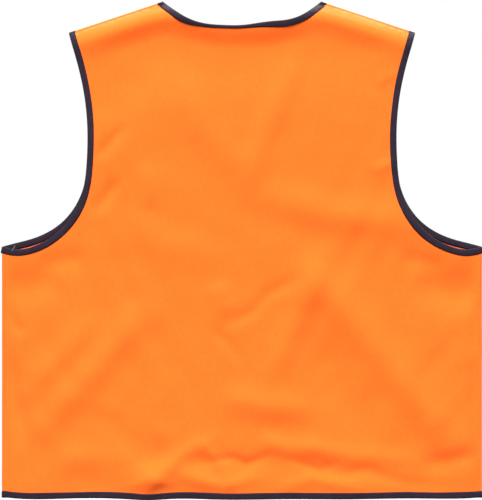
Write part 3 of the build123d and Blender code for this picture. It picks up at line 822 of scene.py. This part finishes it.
for side, sign in SIDES.items():
    sheet = FRONTS[side]
    let_settle(sheet, mirrored(front_outline, sign), front_held_down, 0.0015, 0.006, 22)
    cloth = lay_cloth(f"{side}_front_cloth", mirrored(front_outline, sign), sheet, FRONT_SPACING,
                      [ORANGE, ORANGE_INSIDE_PAINTED_SHADE])
    give_thickness(cloth)
    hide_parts(f"{side}_front_panel", f"{side}_side_panel")
    trim = finish_edge(f"{side}_front_neck_tape", sheet, FRONT_NECK, sign, f"{side}_neck_binding", 5 + sign)
    trim += finish_edge(f"{side}_front_hem_tape", sheet, FRONT_HEM, sign, f"{side}_hem_binding", 8 + sign)
    for row, inset in enumerate((0.0018, 0.0070)):
        thread = stitch_row(f"{side}_placket_stitching_{row}", sheet, PLACKET_LINE, inset, 0.0005,
                            ORANGE_THREAD, sign, 0.018, 0.982, both=True)
        trim.append(thread)
    for piece in [cloth] + trim:
        fold_with_front(piece)
    armhole = finish_edge(f"{side}_front_armhole_tape", sheet, FRONT_ARMHOLE, sign, None, 11 + sign)
    for piece in armhole:
        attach(piece, "shell")
    for name, path, set_in, node in (("shoulder_roll", SHOULDER, 0.0, "shoulder_seam"),
                                     ("side_roll", SIDE, 0.0016, "side_seam")):
        first, last = TAPE_WIDTH, path.length - TAPE_WIDTH
        seam = roll_seam(f"{side}_{name}", path, sign, first - 0.001, last + 0.001, set_in)
        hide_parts(f"{side}_{node}")
        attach(seam, "shell")
        for end, low, high in (("upper", 0.0, first), ("lower", last, path.length)):
            wrap = roll_seam(f"{side}_{name}_{end}_wrap", path, sign, low, high, 0.7 * set_in,
                             BINDING_TAPE, 0.12)
            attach(wrap, "shell")

# ---- Zipper: woven tapes behind the placket edges; the moulded parts keep their CAD shapes ----
for side, sign in SIDES.items():
    low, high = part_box(f"{side}_zipper_tape")
    inner, outer = (low.x, high.x) if sign > 0 else (-high.x, -low.x)
    front_face, back_face = low.y, high.y
    across = np.linspace(inner, outer, 12)
    cord = np.where(across - inner < 0.0022, 0.00018, 0.0)
    stations = np.linspace(low.z, high.z, 130)
    ring_x = np.concatenate([across, across[::-1]])
    ring_y = np.concatenate([front_face - cord, (back_face + cord)[::-1]])
    rings = np.zeros((len(stations), len(ring_x), 3))
    rings[..., 0] = sign * ring_x
    rings[..., 1] = ring_y
    rings[..., 2] = stations[:, None]
    if sign < 0:
        rings = rings[:, ::-1]
    tape = sweep(f"{side}_zipper_webbing", rings, [ZIPPER_TAPE], along=stations)
    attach(tape, f"{side}_front")
    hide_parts(f"{side}_zipper_tape")

for name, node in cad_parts.items():
    if any(word in name for word in ("teeth", "stop", "pin", "box")):
        node.data.materials.clear()
        node.data.materials.append(TEETH)
    if name in ("zipper_slider", "pull_tab"):
        node.data.materials.clear()
        node.data.materials.append(SLIDER)

# ---- Pockets ----
POCKET_LOW, POCKET_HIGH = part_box("left_pocket_pouch")
POCKET_X = (POCKET_LOW.x, POCKET_HIGH.x)
POCKET_Z = (POCKET_LOW.z, POCKET_HIGH.z)
POCKET_CORNER = 0.016
POCKET_LIFT = 0.0102


def rounded_u(left, right, top, bottom, radius):
    """Plan points down the left side, round two bottom corners and up the right side."""
    points = [(left, top)]
    for corner_x, start in ((left + radius, math.pi), (right - radius, 1.5 * math.pi)):
        for k in range(9):
            turn = start + math.pi / 2 * k / 8
            points.append((corner_x + radius * math.cos(turn), bottom + radius + radius * math.sin(turn)))
    points.append((right, top))
    return np.array(points)


def even(points, spacing):
    path = Path(points, smooth=False)
    return path.at(path.stations(spacing))


pouch_edge = Path(rounded_u(*POCKET_X, POCKET_Z[1], POCKET_Z[0], POCKET_CORNER), smooth=False)


def pouch_lift(x, z):
    """How far the pouch's cloth stands off the front: sewn flat at its sides and bottom, open at its top."""
    x = np.abs(x)
    side_gap = np.minimum(x - POCKET_X[0], POCKET_X[1] - x)
    bottom_gap = z - POCKET_Z[0]
    gap = np.maximum(np.minimum(side_gap, bottom_gap), 0)
    corner = np.hypot(np.maximum(POCKET_CORNER - side_gap, 0), np.maximum(POCKET_CORNER - bottom_gap, 0))
    gap = np.minimum(gap, np.maximum(POCKET_CORNER - corner, 0))
    rise = smoothstep(0.0022, 0.019, gap)
    sag = 0.0007 * np.sin((x - POCKET_X[0]) * 2 * math.pi / 0.07) * smoothstep(0.01, 0.05, bottom_gap)
    return 0.0011 + (POCKET_LIFT - 0.0011) * rise + sag * rise


class Raised:
    """A sheet that stands over another one by a lift that varies over the plan."""

    def __init__(self, base, lift):
        self.base, self.lift, self.out = base, lift, base.out

    def place(self, plan, lift=0.0):
        plan = np.asarray(plan, float)
        return self.base.place(plan, self.lift(plan[..., 0], plan[..., 1]) + lift)


FLAP_HALF = 0.083
FLAP_TOP, FLAP_BOTTOM = 0.0085, -0.0625
FLAP_RUN = MM * np.array([(1.35, 9.0), (1.45, 5.0), (2.0, 1.5), (3.2, -1.5), (7.2, -5.2), (11.6, -8.6),
                          (14.2, -13.5), (15.0, -20.0), (15.1, -35.0), (14.9, -60.0)])


class Flap:
    """A pocket flap: its plan is (along, down its own cloth), from its sewn strip over the pocket's mouth."""

    def __init__(self, sign, seed):
        self.sign, self.seed, self.out = sign, seed, -1
        run = np.concatenate([[0], np.cumsum(np.linalg.norm(np.diff(FLAP_RUN, axis=0), axis=1))])
        self.marks = FLAP_TOP - run
        self.middle = Vector((0.125, -0.013806, -0.440))
        self.along = Vector((0.996868, 0.079078, 0))
        self.outward = Vector((0.079078, -0.996868, 0))

    def section(self, t):
        off = natural_spline(-self.marks, FLAP_RUN[:, 0], -t)
        up = natural_spline(-self.marks, FLAP_RUN[:, 1], -t)
        return off, up

    def place(self, plan, lift=0.0):
        plan = np.asarray(plan, float)
        u, t = plan[..., 0], plan[..., 1]
        off, up = self.section(t)
        off2, up2 = self.section(t - 0.0005)
        run = np.stack([off2 - off, up2 - up], -1)
        run /= np.linalg.norm(run, axis=-1, keepdims=True)
        curl = 0.0011 * soft_noise(u, t, 0.045, self.seed) * smoothstep(-0.005, -0.03, t)
        off = off + curl - run[..., 1] * lift
        up = up + run[..., 0] * lift
        v = u * self.sign
        point = (np.array(self.middle) + v[..., None] * np.array(self.along)
                 + off[..., None] * np.array(self.outward) + up[..., None] * np.array((0, 0, 1)))
        return point * (self.sign, 1, 1)


PATCH_SIZE, PATCH_THICKNESS, PATCH_CORNER = (0.070, 0.022), 0.0010, 0.0025


def patch(name, sheet, center, material):
    """A fastener patch: a rounded rectangle of pile with a low edge."""
    w, h = PATCH_SIZE
    half = rounded_u(-w / 2, w / 2, h / 2 - PATCH_CORNER, -h / 2, PATCH_CORNER)
    plan, faces = fill_outline(even(np.concatenate([half, -half]), 0.003)[:-1], 0.004)
    placed = sheet.place(plan + center, PATCH_THICKNESS / 2)
    return give_thickness(new_object(name, placed, faces, [material, material], uv=plan), PATCH_THICKNESS)


for side, sign in SIDES.items():
    body, flap_body = f"{side}_front", f"{side}_flap"
    front = FRONTS[side]
    pouch_sheet = Raised(front, pouch_lift)
    top_edge = np.array([(POCKET_X[1], POCKET_Z[1]), (POCKET_X[0], POCKET_Z[1])])
    outline = join_outline(sample(pouch_edge, POCKET_EDGE_SPACING), even(top_edge, POCKET_EDGE_SPACING))
    pouch = lay_cloth(f"{side}_pouch_cloth", mirrored(outline, sign), pouch_sheet, POCKET_SPACING,
                      [ORANGE, ORANGE_INSIDE_PAINTED_SHADE])
    give_thickness(pouch)
    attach(pouch, body)
    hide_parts(f"{side}_pocket_pouch")
    seams = []
    inset = 0.0015
    sewn = Path(rounded_u(POCKET_X[0] + inset, POCKET_X[1] - inset, POCKET_Z[1] - 0.001,
                          POCKET_Z[0] + inset, POCKET_CORNER - inset), smooth=False)
    seams.append(stitch_row(f"{side}_pouch_stitching", pouch_sheet, sewn, 0.0, 0.0005, ORANGE_THREAD, sign,
                            0.004, 0.996))
    hem = Path([(POCKET_X[0] + 0.003, POCKET_Z[1] - 0.012), (POCKET_X[1] - 0.003, POCKET_Z[1] - 0.012)])
    seams.append(stitch_row(f"{side}_pouch_hem_stitching", pouch_sheet, hem, 0.0, 0.0005, ORANGE_THREAD, sign,
                            both=True))
    for thread in seams:
        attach(thread, body)
    loops = patch(f"{side}_loop_pile", pouch_sheet, (sign * 0.125, -0.478), LOOPS)
    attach(loops, body)
    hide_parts(f"{side}_loop_patch")

    flap = Flap(sign, 31.0 + sign)
    corner = 0.012
    free_edge = rounded_u(-FLAP_HALF, FLAP_HALF, FLAP_TOP, FLAP_BOTTOM, corner)
    sewn_edge = [(FLAP_HALF, FLAP_TOP), (-FLAP_HALF, FLAP_TOP)]
    outline = join_outline(even(free_edge, POCKET_EDGE_SPACING), even(sewn_edge, POCKET_EDGE_SPACING))
    plan, faces = fill_outline(outline, POCKET_SPACING)
    cloth = new_object(f"{side}_flap_cloth", flap.place(plan), faces, [ORANGE, ORANGE_INSIDE_PAINTED_SHADE], uv=plan)
    give_thickness(cloth)
    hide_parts(f"{side}_pocket_flap")
    free = Path(rounded_u(-FLAP_HALF, FLAP_HALF, -0.002, FLAP_BOTTOM, corner), smooth=False)
    tape = fold_binding(f"{side}_flap_tape", flap, free, 1, seed=41 + sign)
    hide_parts(f"{side}_flap_binding")
    rows = [tape]
    rows.append(stitch_row(f"{side}_flap_tape_stitching", flap, free, 0.0066, 0.00118, DARK_THREAD, 1,
                           0.01, 0.99, both=True))
    for n, t in enumerate((0.0062, 0.0008)):
        top = Path([(-FLAP_HALF + 0.003, t), (FLAP_HALF - 0.003, t)])
        rows.append(stitch_row(f"{side}_flap_top_stitching_{n}", flap, top, 0.0, 0.0005, ORANGE_THREAD, 1))
    under_flap = Raised(flap, lambda u, t: np.full_like(u, -0.0014))
    hooks = patch(f"{side}_hook_pile", under_flap, (0.0, -0.0425), HOOKS)
    rows.append(hooks)
    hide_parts(f"{side}_hook_patch")
    for piece in [cloth] + rows:
        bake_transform(piece)

# ---- Size label inside the back neck ----
label_low, label_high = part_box("size_label")
label_x = np.linspace(label_low.x, label_high.x, 14)
label_z = np.linspace(label_high.z, label_low.z, 22)
xx, zz = np.meshgrid(label_x, label_z, indexing="ij")
fall = (label_high.z - zz) / (label_high.z - label_low.z)
rings = BACK.place(np.stack([xx, zz], -1), -(0.0015 + 0.0012 * fall + 0.0006 * np.sin(xx * 160) * fall))
label = sweep("neck_label", rings, [LABEL, LABEL], closed=False)
give_thickness(label, 0.0004)
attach(label, "shell")
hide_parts("size_label")
sewn_height = label_high.z - 0.0015
label_top = Path([(label_low.x + 0.001, sewn_height), (label_high.x - 0.001, sewn_height)])
label_thread = stitch_row("neck_label_stitching", BACK, label_top, 0.0, -0.0018, WHITE_THREAD)
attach(label_thread, "shell")

# ---- Floor, light and camera ----
bpy.ops.mesh.primitive_cylinder_add(vertices=96, radius=3.0, depth=0.02, location=(0, 0, -0.93))
floor = bpy.context.object
floor.name = "floor"
floor.visible_diffuse = False
floor_material = new_material("pale_floor", (0.24, 0.24, 0.245), 0.9)[0]
floor.data.materials.append(floor_material)
floor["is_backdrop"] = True


def area_light(name, place, target, size, energy, color=(1, 1, 1)):
    data = bpy.data.lights.new(name, "AREA")
    data.shape, data.size, data.energy, data.color = "DISK", size, energy, color
    lamp = bpy.data.objects.new(name, data)
    lamp.location = place
    lamp.rotation_euler = (Vector(target) - Vector(place)).to_track_quat("-Z", "Y").to_euler()
    bpy.context.scene.collection.objects.link(lamp)


def sun(name, source, strength, spread=0.30):
    """A soft far light that shines from a direction."""
    data = bpy.data.lights.new(name, "SUN")
    data.energy, data.angle = strength, spread
    lamp = bpy.data.objects.new(name, data)
    lamp.rotation_euler = Vector(source).to_track_quat("Z", "Y").to_euler()
    bpy.context.scene.collection.objects.link(lamp)


CENTER = (0, 0, -HEIGHT / 2)
sun("key", (0.30, 1.85, 2.94), 7.3)
area_light("back_fill", (-0.6, 3.4, -0.2), CENTER, 2.5, 14)
sun("front_key", (-0.60, -1.95, 2.8), 6.2)
area_light("front_fill", (0.8, -3.2, 0.0), CENTER, 2.2, 22)

world = bpy.data.worlds.new("studio")
bpy.context.scene.world = world
world.use_nodes = True
nodes, links = world.node_tree.nodes, world.node_tree.links
nodes.clear()
output = nodes.new("ShaderNodeOutputWorld")
mix = nodes.new("ShaderNodeMixShader")
rays = nodes.new("ShaderNodeLightPath")
around, seen = nodes.new("ShaderNodeBackground"), nodes.new("ShaderNodeBackground")
for background, strength in ((around, 0.33), (seen, 1.0)):
    background.inputs["Color"].default_value = (1, 1, 1, 1)
    background.inputs["Strength"].default_value = strength
links.new(rays.outputs["Is Camera Ray"], mix.inputs["Fac"])
links.new(around.outputs[0], mix.inputs[1])
links.new(seen.outputs[0], mix.inputs[2])
links.new(mix.outputs[0], output.inputs["Surface"])

camera_data = bpy.data.cameras.new("camera")
camera_data.lens, camera_data.sensor_width = 200, 36
camera = bpy.data.objects.new("camera", camera_data)
bpy.context.scene.collection.objects.link(camera)
camera.location = (0.001376, 3.822, -0.3404)
camera.rotation_euler = (math.radians(90), 0, math.radians(180))
bpy.context.scene.camera = camera
bpy.context.scene.view_settings.view_transform = "Standard"

low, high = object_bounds()
{"cad": [list(cad_low), list(cad_high)], "visual": [list(low), list(high)]}
